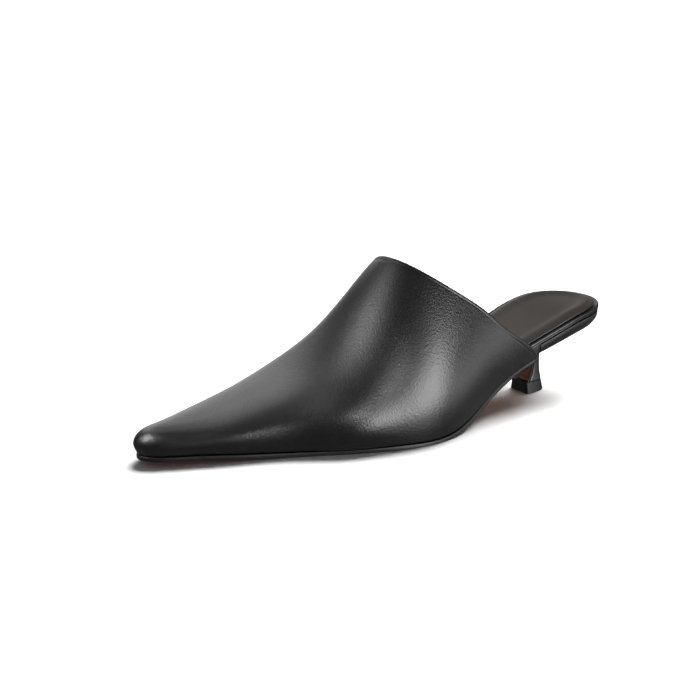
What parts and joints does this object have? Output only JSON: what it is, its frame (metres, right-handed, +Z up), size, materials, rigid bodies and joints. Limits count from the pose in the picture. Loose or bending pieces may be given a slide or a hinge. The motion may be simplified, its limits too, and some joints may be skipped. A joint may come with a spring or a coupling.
{
  "type": "pointed-toe kitten-heel mule",
  "caption": "Left backless slipper with a long pointed toe, high seamless vamp, padded footbed and a low flared heel.",
  "frame": {"origin": "on the floor under the middle of the shoe's box", "axes": "+X towards the toe, +Y towards the wearer's left, which is the outer side of this left shoe, +Z up"},
  "size_m": [0.2672, 0.0946, 0.0833],
  "materials": {
    "upper_leather": "smooth black calf with a soft satin gloss and fine grain",
    "footbed_leather": "black leather wrapped round the footbed's edge, satin",
    "sock_leather": "soft warm grey-brown lining leather over thin padding, nearly matt",
    "sole_leather": "waxed brown sole leather with a black inked and polished edge",
    "heel_leather": "thin black leather drawn over a moulded heel, satin",
    "top_piece_rubber": "hard black rubber, dull"
  },
  "bodies": {
    "root": {"upper": "upper_leather", "insole": "footbed_leather", "sock": "sock_leather", "outsole": "sole_leather", "heel": "heel_leather", "top_piece": "top_piece_rubber"}
  },
  "joints": []
}
